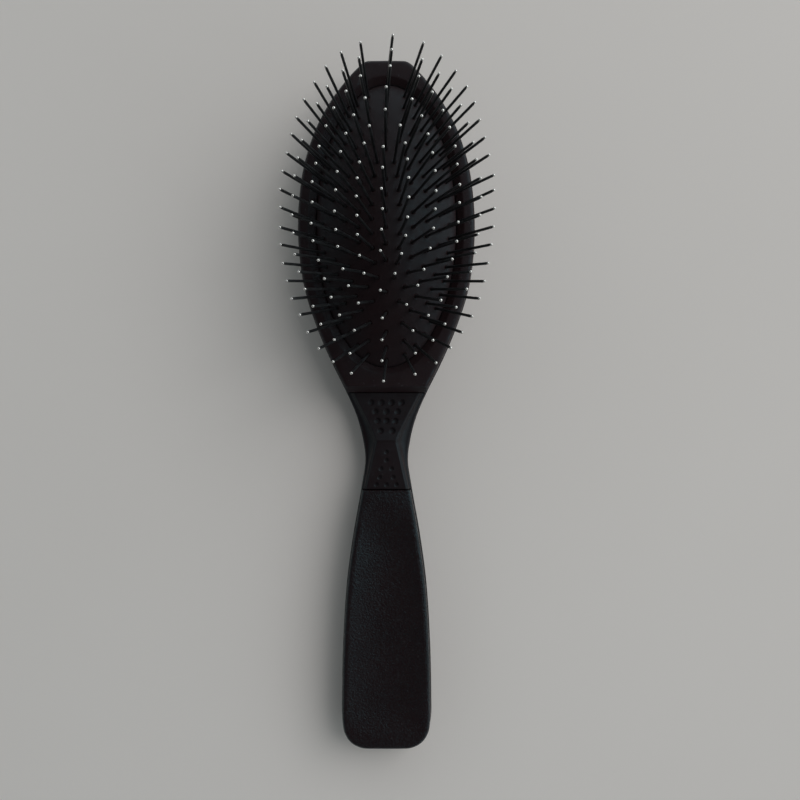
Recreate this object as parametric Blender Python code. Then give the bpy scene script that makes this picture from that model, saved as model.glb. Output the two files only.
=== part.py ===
"""Paddle hair brush lying on its back, pins up.

Metres, +Z up. The handle runs along -Y, the head is toward +Y and X goes across. The origin is the centre of the
bounding box in plan, on the plane the brush rests on.
"""

import math

import bmesh
import bpy
import numpy as np
from mathutils import Vector

MM = 0.001

# Overall plan. Each entry is (half width, y), from the top of the head down one side to the butt of the handle.
HEAD_TOP_Y = 117.5 * MM
BUTT_Y = -117.5 * MM
SIDE_POINTS_MM = (
    (0.0, 117.5),
    (4.2, 117.5),
    (6.8, 117.3),
    (8.7, 116.35),
    (10.3, 114.8),
    (13.6, 111.3),
    (19.2, 103.9),
    (24.0, 95.3),
    (27.1, 87.0),
    (29.1, 78.8),
    (30.5, 66.0),
    (30.5, 56.0),
    (29.5, 45.8),
    (27.8, 37.6),
    (25.1, 29.3),
    (21.9, 21.1),
    (18.1, 12.8),
    (14.0, 4.6),
    (10.4, -3.7),
    (8.2, -11.9),
    (7.4, -19.0),
    (8.7, -28.4),
    (11.6, -44.9),
    (13.8, -61.4),
    (15.1, -82.0),
    (15.5, -100.0),
    (15.45, -107.6),
    (14.6, -112.0),
    (12.4, -115.2),
    (8.8, -117.1),
    (4.0, -117.5),
    (0.0, -117.5),
)
SIDE_SAMPLES = 50

# Levels above the rest plane.
SHELL_TOP_Z = 7.2 * MM
FRONT_BOTTOM_Z = 7.5 * MM
RIM_Z = 14.0 * MM
HANDLE_FACE_Z = 13.0 * MM
FRONT_INSET = 0.45 * MM
POCKET_FLOOR_Z = 3.6 * MM
NECK_ARCH = 3.0 * MM
NECK_Y = -16.0 * MM

# Oval cushion opening in the head.
PAD_CENTRE_Y = 60.9 * MM
PAD_A = 23.7 * MM
PAD_B = 47.8 * MM
PAD_EDGE_Z = 12.5 * MM
PAD_CROWN = 10.0 * MM
PAD_THICK = 1.2 * MM
GAP = 0.3 * MM

# Pins: a middle column and nested oval rings, six more pins in each ring than in the one inside it.
PIN_LENGTH = 22.0 * MM
PIN_R = 0.42 * MM
PIN_END_R = 0.5 * MM
PIN_TIP_R = 0.25 * MM
PIN_FAN_X = 0.915
PIN_FAN_Y = 0.86
PIN_FAN_SIDE = 0.5
PIN_LEAN_Y = 0.041
PIN_CLOSE = 0.9676
PIN_SIDES = 6
PIN_HOLE_HALF = 0.78 * MM
CELL_HALF = 1.25 * MM
RUNNER_HALF = 0.85 * MM
RUNNER_THICK = 0.8 * MM
COLUMN_PINS = 6
COLUMN_PITCH = 5.3 * MM
COLUMN_Y = -0.1 * MM
RING_COUNTS = (20, 26, 32, 38, 44)
RING_PARTS = ("head_right", "neck_right", "neck_left", "head_left")
RING_A_MM = (4.6, 9.0, 13.6, 18.0, 21.4)
RING_B_MM = (23.5, 30.2, 36.4, 41.5, 45.6)

# Neck grip and handle face.
FRAME_END_Y = 4.1 * MM
FRAME_END_SLOPE = 1.95 * MM
GRIP_TOP_Y = 4.2 * MM
GRIP_BOTTOM_Y = -28.6 * MM
HANDLE_TOP_Y = -28.45 * MM

# Screws that hold the chamber plate up to the frame.
SCREW_ANGLES_DEG = (35, 90, 145, 215, 270, 325)
SCREW_OUT = 3.3 * MM
SCREW_R = 0.65 * MM
SCREW_HOLE_R = 0.95 * MM
SCREW_HEAD_R = 1.4 * MM
SCREW_HEAD_Z = 6.0 * MM
SCREW_TIP_Z = 12.0 * MM

# Cushion rim, clamp ring and chamber plate, stacked under the frame's lip.
LIP_Z = 11.3 * MM
FLANGE_TOP_Z = LIP_Z - GAP
FLANGE_THICK = 1.0 * MM
FLANGE_OUT = 1.8 * MM
CLAMP_TOP_Z = FLANGE_TOP_Z - FLANGE_THICK - GAP
CLAMP_LOW_Z = 8.6 * MM
STEP_Z = 8.6 * MM
PLATE_TOP_Z = 8.3 * MM
PLATE_OUT = 4.9 * MM
POCKET_OUT = 5.0 * MM
FRAME_SAMPLES = 52

# Neck grip's middle panel: (y, half width, height). It rises from the head to a crest at the waist.
GRIP_PANEL_MM = (
    (4.2, 11.0, 11.2),
    (-5.0, 6.2, 11.4),
    (-9.0, 4.3, 11.85),
    (-11.9, 3.1, 12.6),
    (-12.7, 3.1, 12.4),
    (-28.6, 6.7, 12.1),
)
GRIP_STEP = 0.8 * MM
GRIP_EDGE_Z = 9.0 * MM

# Shallow hollow along the handle's face: its depth, and where it fades out at the two ends.
DISH_DEPTH = 1.5 * MM
DISH_START_Y = -32.0 * MM
DISH_FULL_Y = -50.0 * MM
DISH_LAST_FULL_Y = -102.0 * MM
DISH_END_Y = -116.0 * MM
DISH_SHARES = (0.8, 0.45, 0.0, -0.45, -0.8)


def clear_scene():
    for obj in list(bpy.data.objects):
        bpy.data.objects.remove(obj, do_unlink=True)


def material(name, colour, roughness, metallic=0.0):
    made = bpy.data.materials.new(name)
    made.use_nodes = True
    shader = made.node_tree.nodes["Principled BSDF"]
    shader.inputs["Base Color"].default_value = (*colour, 1.0)
    shader.inputs["Roughness"].default_value = roughness
    shader.inputs["Metallic"].default_value = metallic
    return made


def make_object(name, points, faces, look, smooth=True):
    mesh = bpy.data.meshes.new(name)
    mesh.from_pydata([tuple(p) for p in points], [], faces)
    tool = bmesh.new()
    tool.from_mesh(mesh)
    bmesh.ops.remove_doubles(tool, verts=tool.verts, dist=1e-6)
    bmesh.ops.recalc_face_normals(tool, faces=tool.faces)
    tool.to_mesh(mesh)
    tool.free()
    obj = bpy.data.objects.new(name, mesh)
    bpy.context.scene.collection.objects.link(obj)
    mesh.materials.append(look)
    if smooth:
        for face in mesh.polygons:
            face.use_smooth = True
        mesh.set_sharp_from_angle(angle=math.radians(32))
    return obj


def cut(obj, cutter):
    cutter.hide_render = True
    cutter.display_type = "WIRE"
    step = obj.modifiers.new("cut", "BOOLEAN")
    step.operation = "DIFFERENCE"
    step.solver = "EXACT"
    step.object = cutter


def curve_through(points, count=24):
    """Dense points on a centripetal Catmull-Rom curve; it leaves and arrives square to the middle plane."""
    pts = [np.array(p, float) for p in points]
    mirror_first = pts[1] * np.array([-1.0, 1.0])
    mirror_last = pts[-2] * np.array([-1.0, 1.0])
    pts = [mirror_first, *pts, mirror_last]
    dense = []
    for a, b, c, d in zip(pts, pts[1:], pts[2:], pts[3:]):
        t0 = 0.0
        t1 = t0 + math.sqrt(np.linalg.norm(b - a))
        t2 = t1 + math.sqrt(np.linalg.norm(c - b))
        t3 = t2 + math.sqrt(np.linalg.norm(d - c))
        for t in np.linspace(t1, t2, count, endpoint=False):
            ab = a + (b - a) * (t - t0) / (t1 - t0)
            bc = b + (c - b) * (t - t1) / (t2 - t1)
            cd = c + (d - c) * (t - t2) / (t3 - t2)
            abc = ab + (bc - ab) * (t - t0) / (t2 - t0)
            bcd = bc + (cd - bc) * (t - t1) / (t3 - t1)
            dense.append(abc + (bcd - abc) * (t - t1) / (t2 - t1))
    dense.append(pts[-2])
    return np.array(dense)


def resample(dense, samples, bend_weight=22 * MM):
    """Points along a curve, closer together where it bends; the ends are kept."""
    step = np.diff(dense, axis=0)
    length = np.hypot(step[:, 0], step[:, 1])
    heading = np.unwrap(np.arctan2(step[:, 1], step[:, 0]))
    turn = np.abs(np.gradient(heading))
    weight = length + bend_weight * turn
    along = np.concatenate([[0.0], np.cumsum(weight)])
    marks = np.linspace(0.0, along[-1], samples)
    return np.stack([np.interp(marks, along, dense[:, k]) for k in (0, 1)], axis=1)


def outward_normals(side):
    """Normals away from the solid for a half outline from the top down the +X side, longer where it turns a corner."""
    before = side - np.vstack([side[1] * [-1, 1], side[:-1]])
    after = np.vstack([side[1:], side[-2] * [-1, 1]]) - side
    before /= np.linalg.norm(before, axis=1)[:, None]
    after /= np.linalg.norm(after, axis=1)[:, None]
    run = before + after
    run /= np.linalg.norm(run, axis=1)[:, None]
    reach = 1 / np.maximum((run * after).sum(axis=1), 0.65)
    return np.stack([-run[:, 1], run[:, 0]], axis=1) * reach[:, None]


def full_loop(side, z):
    """The closed loop of a half outline: down the +X side, then back up the -X side."""
    right = [(x, y, h) for (x, y), h in zip(side, z)]
    left = [(-x, y, h) for x, y, h in reversed(right[1:-1])]
    return right + left


def inset_side(side, normals, inset):
    moved = side - normals * np.asarray(inset).reshape(-1, 1)
    moved[0, 0] = 0.0
    moved[-1, 0] = 0.0
    return moved


def bridge(faces, first, second, count):
    for i in range(count):
        j = (i + 1) % count
        faces.append((first + i, first + j, second + j, second + i))


def cap(faces, start, side_count):
    """Faces across a loop, from each point of one side to its mirror on the other, with a fan at each end."""
    total = 2 * side_count - 2

    def right(i):
        return start + i

    def left(i):
        return start + (total - i) % total

    last = side_count - 1
    faces.append((right(0), right(1), right(2)))
    faces.append((right(0), right(2), left(2)))
    faces.append((right(0), left(2), left(1)))
    for i in range(2, last - 2):
        faces.append((right(i), right(i + 1), left(i + 1), left(i)))
    faces.append((right(last - 2), right(last - 1), right(last)))
    faces.append((right(last - 2), right(last), left(last - 2)))
    faces.append((left(last - 2), right(last), left(last - 1)))


def hollow_depth(share, y):
    """How far the handle's face lies below its edge; share runs from -1 to 1 across it."""
    start = min(1.0, max(0.0, (y - DISH_START_Y) / (DISH_FULL_Y - DISH_START_Y)))
    end = min(1.0, max(0.0, (y - DISH_END_Y) / (DISH_LAST_FULL_Y - DISH_END_Y)))
    fade = start**2 * (3 - 2 * start) * end**2 * (3 - 2 * end)
    return DISH_DEPTH * (1 - share**2) * fade


def hollow_cap(points, faces, start, ring, z):
    """Faces across a loop with rows of inner points, which dip by the hollow's depth."""
    count = len(ring)
    total = 2 * count - 2
    rows = []
    for i in range(3, count - 3):
        first = len(points)
        x, y = ring[i]
        points.extend((x * share, y, z[i] - hollow_depth(share, y)) for share in DISH_SHARES)
        rows.append([start + i, *range(first, first + len(DISH_SHARES)), start + total - i])
    for upper, lower in zip(rows, rows[1:]):
        for k in range(len(upper) - 1):
            faces.append((upper[k], lower[k], lower[k + 1], upper[k + 1]))
    faces.append((start, start + 1, start + 2, *rows[0], start + total - 2, start + total - 1))
    last = list(range(start + count - 4, start + count + 3))
    faces.append((*rows[-1][::-1], *last[1:-1]))


def slab(name, side, rows, look, hollow=False):
    """Closed solid from a half outline. rows are (inset, height) from one cap to the other; either may vary with y."""
    normals = outward_normals(side)
    count = len(side)
    total = 2 * count - 2
    points = []
    faces = []
    for inset, height in rows:
        inset_here = inset(side[:, 1]) if callable(inset) else np.full(count, inset)
        ring = inset_side(side, normals, inset_here)
        z = height(ring[:, 1]) if callable(height) else np.full(count, height)
        if not points:
            first_ring = (ring, z)
        points += full_loop(ring, z)
    for k in range(len(rows) - 1):
        bridge(faces, k * total, (k + 1) * total, total)
    if hollow:
        hollow_cap(points, faces, 0, *first_ring)
    else:
        cap(faces, 0, count)
    cap(faces, (len(rows) - 1) * total, count)
    return make_object(name, points, faces, look)


def ellipse_ring(grow, z, angles, a=PAD_A, b=PAD_B):
    """Points at a constant distance outside the oval, one for each angle, clockwise from the head's top."""
    s = np.sin(angles)
    c = np.cos(angles)
    nx = s / a
    ny = c / b
    size = np.hypot(nx, ny)
    x = a * s + grow * nx / size
    y = b * c + grow * ny / size
    return [(p, q + PAD_CENTRE_Y, z) for p, q in zip(x, y)]


def torus_of_loops(name, loops, look):
    count = len(loops[0])
    points = [p for loop in loops for p in loop]
    faces = []
    for k in range(len(loops)):
        bridge(faces, k * count, ((k + 1) % len(loops)) * count, count)
    return make_object(name, points, faces, look)


def cylinder(name, centre, radius, z_low, z_high, sides, look):
    points = []
    for z in (z_low, z_high):
        for k in range(sides):
            turn = 2 * math.pi * k / sides
            points.append((centre[0] + radius * math.cos(turn), centre[1] + radius * math.sin(turn), z))
    faces = [tuple(range(sides)), tuple(range(sides, 2 * sides))]
    bridge(faces, 0, sides, sides)
    return make_object(name, points, faces, look)


def dome_z(x, y):
    """Height of the cushion's outer face; y is measured from the pad's centre."""
    return PAD_EDGE_Z + PAD_CROWN * (1 - (x / PAD_A) ** 2 - (y / PAD_B) ** 2)


def dome_normal(x, y):
    slope = Vector((2 * PAD_CROWN * x / PAD_A**2, 2 * PAD_CROWN * y / PAD_B**2, 1.0))
    return slope.normalized()


def pin_direction(x, y):
    """The way a pin leans: nearly square to the dome, and a touch toward the head's top."""
    side = 1 + PIN_FAN_SIDE * (x / PAD_A) ** 2
    slope_x = PIN_FAN_X * 2 * PAD_CROWN * x / PAD_A**2
    slope_y = PIN_FAN_Y * side * 2 * PAD_CROWN * y / PAD_B**2 + PIN_LEAN_Y
    return Vector((slope_x, slope_y, 1.0)).normalized()


def dome_point(x, y, depth=0.0):
    """A point under the dome's outer face, measured square to it."""
    n = dome_normal(x, y)
    return Vector((x, y + PAD_CENTRE_Y, dome_z(x, y))) - n * depth


def oval_place(a, b, count, mark):
    """The place on an oval that is mark steps of 1/count of its length clockwise from the top."""
    turn = np.linspace(0, 2 * math.pi, 2881)
    along = np.concatenate([[0.0], np.cumsum(np.hypot(np.diff(a * np.sin(turn)), np.diff(b * np.cos(turn))))])
    share = (mark / count) % 1.0
    t = float(np.interp(share * along[-1], along, turn))
    return a * math.sin(t), b * math.cos(t)


def pin_mark(mark, count):
    """A ring's mark moved a little toward the middle of its flank; the marks at the two ends stay."""
    half = count / 2
    close = (half / 2 - 1) * (1 - PIN_CLOSE)
    marks = (-1, 0, 1, half - 1, half, half + 1, count - 1, count, count + 1)
    moved = (-1 - close, 0, 1 + close, half - 1 - close, half, half + 1 + close, count - 1 - close, count)
    moved += (count + 1 + close,)
    return float(np.interp(mark, marks, moved))


def stitch(faces, inner, inner_turns, outer, outer_turns):
    """Triangles between two closed rows with different counts. Turns are angles that grow along each row."""
    ti = np.unwrap(inner_turns)
    to = np.unwrap(outer_turns)
    to = to + 2 * math.pi * round((ti[0] - to[0]) / (2 * math.pi))
    n = len(inner)
    m = len(outer)
    i = 0
    j = 0
    while i < n or j < m:
        next_i = ti[(i + 1) % n] + 2 * math.pi * ((i + 1) // n)
        next_j = to[(j + 1) % m] + 2 * math.pi * ((j + 1) // m)
        if j >= m or (i < n and next_i <= next_j):
            faces.append((inner[i % n], inner[(i + 1) % n], outer[j % m]))
            i += 1
        else:
            faces.append((inner[i % n], outer[(j + 1) % m], outer[j % m]))
            j += 1


def turns_of(places):
    return [math.atan2(x / PAD_A, y / PAD_B) for x, y in places]


def frame_at(x, y, ahead):
    """Unit vectors (across, along, up) on the dome at a place; along points to the place ahead."""
    up = dome_normal(x, y)
    along = Vector((ahead[0] - x, ahead[1] - y, 0.0))
    along = (along - up * along.dot(up)).normalized()
    across = along.cross(up).normalized()
    return across, along, up


def ring_row(k, marks):
    """Places on ring k of the pins at the given marks."""
    a = RING_A_MM[k] * MM
    b = RING_B_MM[k] * MM
    count = RING_COUNTS[k]
    return [oval_place(a, b, count, pin_mark(mark, count)) for mark in marks]


def ring_pin(k, index):
    """(place, frame) of one pin of ring k."""
    behind, (x, y), ahead = ring_row(k, [index - 0.2, index, index + 0.2])
    return (x, y), frame_at(x, y, (x + ahead[0] - behind[0], y + ahead[1] - behind[1]))


def column_y(mark):
    return COLUMN_Y + COLUMN_PITCH * ((COLUMN_PINS - 1) / 2 - mark)


def column_pin(mark):
    """(place, frame) at a mark of the middle column."""
    y = column_y(mark)
    return (0.0, y), frame_at(0.0, y, (0.0, y - MM))


def hole_corners(place, frame, depth):
    centre = dome_point(*place, depth)
    across, along, _ = frame
    h = PIN_HOLE_HALF
    return [centre + across * h * s + along * h * t for s, t in ((1, -1), (1, 1), (-1, 1), (-1, -1))]


def cell_places(place, frame):
    """Plan places of the square round a pin: inner behind, inner ahead, outer ahead, outer behind."""
    across, along, _ = frame
    places = []
    for s, t in ((1, -1), (1, 1), (-1, 1), (-1, -1)):
        step = (across * s + along * t) * CELL_HALF
        places.append((place[0] + step.x, place[1] + step.y))
    return places


def pad_sheet(points, faces, depth):
    """One face of the domed sheet. Returns (hole corner numbers for each pin, the outermost row, its places)."""

    def add(many):
        first = len(points)
        points.extend(many)
        return list(range(first, len(points)))

    holes = []

    def cell(corners, place, frame):
        hole = add(hole_corners(place, frame, depth))
        holes.append(hole)
        for s in range(4):
            t = (s + 1) % 4
            faces.append((corners[s], corners[t], hole[t], hole[s]))

    marks = [k - 0.5 for k in range(COLUMN_PINS + 1)]
    left_places = [(-CELL_HALF, column_y(m)) for m in marks]
    right_places = [(CELL_HALF, column_y(m)) for m in marks]
    left = add([dome_point(*p, depth) for p in left_places])
    right = add([dome_point(*p, depth) for p in right_places])
    for k in range(COLUMN_PINS):
        place, frame = column_pin(k)
        cell((left[k], left[k + 1], right[k + 1], right[k]), place, frame)
    row = right + left[::-1]
    row_places = right_places + left_places[::-1]
    for k, count in enumerate(RING_COUNTS):
        pins = [ring_pin(k, m) for m in range(count)]
        squares = [cell_places(place, frame) for place, frame in pins]
        inner_places = [p for square in squares for p in square[:2]]
        outer_places = [p for square in squares for p in (square[3], square[2])]
        inner = add([dome_point(*p, depth) for p in inner_places])
        outer = add([dome_point(*p, depth) for p in outer_places])
        stitch(faces, row, turns_of(row_places), inner, turns_of(inner_places))
        for m, (place, frame) in enumerate(pins):
            a = 2 * m
            b = a + 1
            after = (a + 2) % (2 * count)
            cell((inner[a], inner[b], outer[b], outer[a]), place, frame)
            faces.append((outer[b], inner[b], inner[after], outer[after]))
        row = outer
        row_places = outer_places
    return holes, row, row_places


def make_pad(look):
    points = []
    faces = []
    top_holes, top_row, top_places = pad_sheet(points, faces, 0.0)
    low_holes, low_row, _ = pad_sheet(points, faces, PAD_THICK)
    for top, low in zip(top_holes, low_holes):
        bridge(faces, top[0], low[0], 4)
    count = len(top_row)
    angles = np.array(turns_of(top_places))
    rim = (
        (-0.15 * MM, PAD_EDGE_Z + 0.05 * MM),
        (0.0, PAD_EDGE_Z - 0.3 * MM),
        (0.0, FLANGE_TOP_Z),
        (FLANGE_OUT, FLANGE_TOP_Z),
        (FLANGE_OUT, FLANGE_TOP_Z - FLANGE_THICK),
        (-1.6 * MM, FLANGE_TOP_Z - FLANGE_THICK),
        (-1.3 * MM, FLANGE_TOP_Z + 0.3 * MM),
    )
    previous = top_row[0]
    for grow, z in rim:
        first = len(points)
        points.extend(Vector(p) for p in ellipse_ring(grow, z, angles))
        bridge(faces, previous, first, count)
        previous = first
    bridge(faces, previous, low_row[0], count)
    return make_object("cushion_pad", points, faces, look)


def add_pin(points, faces, corners, corner_turns, place, frame):
    """A pin that rises out of a four-cornered face of its runner."""
    across, along, _ = frame
    up = pin_direction(*place)
    reach = PIN_LENGTH + PAD_THICK + GAP
    base = dome_point(*place) - up * (PAD_THICK + GAP)
    rows = []
    for height, radius in ((0.0, PIN_R), (reach - 0.45 * MM, PIN_END_R), (reach, PIN_TIP_R)):
        first = len(points)
        rows.append(first)
        for k in range(PIN_SIDES):
            turn = 2 * math.pi * k / PIN_SIDES
            points.append(base + up * height + (across * math.cos(turn) + along * math.sin(turn)) * radius)
    hexagon = list(range(rows[0], rows[0] + PIN_SIDES))
    hexagon_turns = [2 * math.pi * k / PIN_SIDES for k in range(PIN_SIDES)]
    stitch(faces, hexagon, hexagon_turns, corners, corner_turns)
    bridge(faces, rows[0], rows[1], PIN_SIDES)
    bridge(faces, rows[1], rows[2], PIN_SIDES)
    faces.append(tuple(range(rows[2], rows[2] + PIN_SIDES)))


def make_pins(name, stations, pins, look):
    """A runner strip under the cushion with its pins. stations are (place, frame) of the strip's cross rows."""
    points = []
    faces = []
    top_depth = PAD_THICK + GAP
    for place, frame in stations:
        across = frame[0] * RUNNER_HALF
        top = dome_point(*place, top_depth)
        low = dome_point(*place, top_depth + RUNNER_THICK)
        points.extend((top + across, top - across, low - across, low + across))
    for k, (place, frame) in enumerate(pins):
        a = 4 * k
        b = a + 4
        corners = [a, b, b + 1, a + 1]
        corner_turns = [-0.25 * math.pi, 0.25 * math.pi, 0.75 * math.pi, 1.25 * math.pi]
        add_pin(points, faces, corners, corner_turns, place, frame)
        faces.append((a + 1, b + 1, b + 2, a + 2))
        faces.append((a + 2, b + 2, b + 3, a + 3))
        faces.append((a + 3, b + 3, b, a))
    last = 4 * (len(stations) - 1)
    faces.append((0, 1, 2, 3))
    faces.append((last, last + 1, last + 2, last + 3))
    return make_object(name, points, faces, look)


def make_all_pins(look):
    marks = [-0.35] + [k + 0.5 for k in range(COLUMN_PINS - 1)] + [COLUMN_PINS - 0.65]
    stations = [column_pin(m) for m in marks]
    make_pins("pins_column", stations, [column_pin(k) for k in range(COLUMN_PINS)], look)
    for ring, count in enumerate(RING_COUNTS):
        half = count // 2
        early = half // 2
        starts = (0, early, half, half + early, count)
        for part, start, end in zip(RING_PARTS, starts, starts[1:]):
            marks = [start - 0.35] + [k + 0.5 for k in range(start, end - 1)] + [end - 0.65]
            stations = [ring_pin(ring, m) for m in marks]
            pins = [ring_pin(ring, k) for k in range(start, end)]
            make_pins(f"pins_ring_{ring + 1}_{part}", stations, pins, look)


def half_width(dense, y):
    """Half width of the body at a height in plan, away from the two ends."""
    return float(np.interp(-y, -dense[:, 1], dense[:, 0]))


def between(dense, high, low):
    """The part of a half outline between two values of y, with exact ends."""
    inside = dense[(dense[:, 1] < high - 0.05 * MM) & (dense[:, 1] > low + 0.05 * MM)]
    rows = [inside]
    if high < HEAD_TOP_Y:
        rows.insert(0, [[half_width(dense, high), high]])
    if low > BUTT_Y:
        rows.append([[half_width(dense, low), low]])
    return np.vstack(rows)


def neck_rise(y):
    return NECK_ARCH * np.exp(-(((y - NECK_Y) / (17 * MM)) ** 2))


def arched(z):
    """A level of the back shell: lifted under the neck, and unchanged at the shell's top."""
    return lambda y: z + neck_rise(y) * (1 - z / SHELL_TOP_Z)


def make_back_shell(dense, look):
    side = resample(dense, SIDE_SAMPLES)
    rows = (
        (4.4 * MM, arched(0.0)),
        (2.6 * MM, arched(0.4 * MM)),
        (1.1 * MM, arched(1.6 * MM)),
        (0.3 * MM, arched(3.4 * MM)),
        (0.0, arched(5.4 * MM)),
        (0.0, 6.9 * MM),
        (0.25 * MM, SHELL_TOP_Z),
    )
    return slab("back_shell", side, rows, look)


def make_frame(dense, look):
    side = between(dense, HEAD_TOP_Y, FRAME_END_Y)
    corner = side[-1]
    edge = np.stack([np.linspace(corner[0], 0.0, 12), np.full(12, FRAME_END_Y)], axis=1)
    closed_half = np.vstack([[[0.0, HEAD_TOP_Y]], side, edge[1:]])
    turn = np.arctan2(closed_half[:, 0] / PAD_A, (closed_half[:, 1] - PAD_CENTRE_Y) / PAD_B)
    keep = np.concatenate([[True], np.diff(turn) > 1e-9])
    stops = FRAME_SAMPLES // 2 + 1
    places = [oval_place(PAD_A, PAD_B, FRAME_SAMPLES, k) for k in range(stops)]
    angles = np.array([math.atan2(x / PAD_A, y / PAD_B) for x, y in places])
    angles[0] = 0.0
    angles[-1] = math.pi
    corner_turn = math.atan2(corner[0] / PAD_A, (corner[1] - PAD_CENTRE_Y) / PAD_B)
    angles[np.abs(angles - corner_turn).argmin()] = corner_turn
    outer = np.stack([np.interp(angles, turn[keep], closed_half[keep][:, k]) for k in (0, 1)], axis=1)
    normals = outward_normals(outer)
    outer_rows = (
        (0.25 * MM, FRONT_BOTTOM_Z),
        (0.0, FRONT_BOTTOM_Z + 0.4 * MM),
        (0.0, 11.6 * MM),
        (0.22 * MM, 12.9 * MM),
        (0.62 * MM, 13.6 * MM),
        (1.3 * MM, RIM_Z),
    )
    oval_rows = (
        (2.4 * MM, RIM_Z),
        (GAP, PAD_EDGE_Z),
        (GAP, LIP_Z),
        (FLANGE_OUT + GAP, LIP_Z),
        (FLANGE_OUT + GAP, STEP_Z),
        (PLATE_OUT + GAP, STEP_Z),
        (PLATE_OUT + GAP, FRONT_BOTTOM_Z),
    )
    loops = []
    for inset, z in outer_rows:
        ring = inset_side(outer, normals, FRONT_INSET + inset)
        rise = max(0.0, (z - LIP_Z) / (RIM_Z - LIP_Z))
        ring[:, 1] = np.maximum(ring[:, 1], FRAME_END_Y + FRONT_INSET + FRAME_END_SLOPE * rise)
        loops.append(full_loop(ring, [z] * stops))
    round_angles = np.concatenate([angles, 2 * math.pi - angles[-2:0:-1]])
    loops += [ellipse_ring(grow, z, round_angles) for grow, z in oval_rows]
    frame = torus_of_loops("head_frame", loops, look)
    for k, place in enumerate(screw_places()):
        cut(frame, cylinder(f"frame_hole_{k}", place, SCREW_HOLE_R, STEP_Z - MM, SCREW_TIP_Z + GAP, 8, look))
    return frame


def screw_places():
    return [ellipse_ring(SCREW_OUT, 0.0, np.array([math.radians(d)]))[0][:2] for d in SCREW_ANGLES_DEG]


def make_clamp_ring(look):
    angles = np.linspace(0, 2 * math.pi, FRAME_SAMPLES, endpoint=False)
    rows = (
        (-1.5 * MM, CLAMP_LOW_Z),
        (FLANGE_OUT, CLAMP_LOW_Z),
        (FLANGE_OUT, CLAMP_TOP_Z),
        (-1.5 * MM, CLAMP_TOP_Z),
    )
    return torus_of_loops("cushion_clamp_ring", [ellipse_ring(g, z, angles) for g, z in rows], look)


def oval_plate(name, grow, z_low, z_high, look):
    angles = np.linspace(0, 2 * math.pi, FRAME_SAMPLES, endpoint=False)
    points = ellipse_ring(grow, z_low, angles) + ellipse_ring(grow, z_high, angles)
    faces = [tuple(range(FRAME_SAMPLES)), tuple(range(FRAME_SAMPLES, 2 * FRAME_SAMPLES))]
    bridge(faces, 0, FRAME_SAMPLES, FRAME_SAMPLES)
    return make_object(name, points, faces, look)


def make_chamber_plate(look):
    plate = oval_plate("chamber_plate", PLATE_OUT, FRONT_BOTTOM_Z, PLATE_TOP_Z, look)
    for k, place in enumerate(screw_places()):
        hole = cylinder(f"plate_hole_{k}", place, SCREW_HOLE_R, FRONT_BOTTOM_Z - MM, PLATE_TOP_Z + MM, 8, look)
        cut(plate, hole)
    vent = cylinder("plate_vent", (0.0, PAD_CENTRE_Y), 1.5 * MM, FRONT_BOTTOM_Z - MM, PLATE_TOP_Z + MM, 10, look)
    cut(plate, vent)
    return plate


def make_screw(name, centre, look):
    rows = (
        (SCREW_HEAD_R, SCREW_HEAD_Z),
        (SCREW_HEAD_R, SHELL_TOP_Z),
        (SCREW_R, SHELL_TOP_Z),
        (SCREW_R, SCREW_TIP_Z - 0.5 * MM),
        (SCREW_R / 2, SCREW_TIP_Z),
    )
    sides = 8
    points = []
    for radius, z in rows:
        for k in range(sides):
            turn = 2 * math.pi * k / sides
            points.append((centre[0] + radius * math.cos(turn), centre[1] + radius * math.sin(turn), z))
    faces = [tuple(range(sides)), tuple(range(sides * (len(rows) - 1), sides * len(rows)))]
    for k in range(len(rows) - 1):
        bridge(faces, sides * k, sides * (k + 1), sides)
    return make_object(name, points, faces, look)


def handle_outline(dense, top_y):
    side = between(dense, top_y, BUTT_Y)
    body = resample(np.vstack([side, [[0.0, BUTT_Y]]]), 24)
    return np.vstack([[[0.0, top_y]], body])


def make_handle_cover(dense, look):
    side = handle_outline(dense, HANDLE_TOP_Y)
    rows = (
        (1.5 * MM, HANDLE_FACE_Z),
        (0.6 * MM, 12.75 * MM),
        (0.15 * MM, 12.2 * MM),
        (0.0, 11.3 * MM),
        (0.0, FRONT_BOTTOM_Z + 0.4 * MM),
        (0.25 * MM, FRONT_BOTTOM_Z),
        (2.4 * MM, FRONT_BOTTOM_Z),
        (2.4 * MM, HANDLE_FACE_Z - 3.2 * MM),
    )
    return slab("handle_cover", side, [(FRONT_INSET + inset, z) for inset, z in rows], look, hollow=True)


def grip_profile(dense, y):
    """Cross-section of the neck grip: side wall, slanted flank, a short step, then the panel in the middle."""
    w = half_width(dense, y)
    places = [-v * MM for v, _, _ in GRIP_PANEL_MM]
    p = float(np.interp(-y, places, [a * MM for _, a, _ in GRIP_PANEL_MM]))
    z = float(np.interp(-y, places, [h * MM for _, _, h in GRIP_PANEL_MM]))
    edge = (w - 0.3 * MM, GRIP_EDGE_Z)
    foot = (min(p + GRIP_STEP, w - 0.6 * MM), z - GRIP_STEP)
    right = [
        (w - 0.25 * MM, FRONT_BOTTOM_Z),
        (w, FRONT_BOTTOM_Z + 0.4 * MM),
        edge,
        (edge[0] + (foot[0] - edge[0]) * 0.55, edge[1] + (foot[1] - edge[1]) * 0.36),
        foot,
        (p, z),
    ]
    left = [(-x, h) for x, h in reversed(right)]
    return [(x, y, h) for x, h in right + left]


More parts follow.
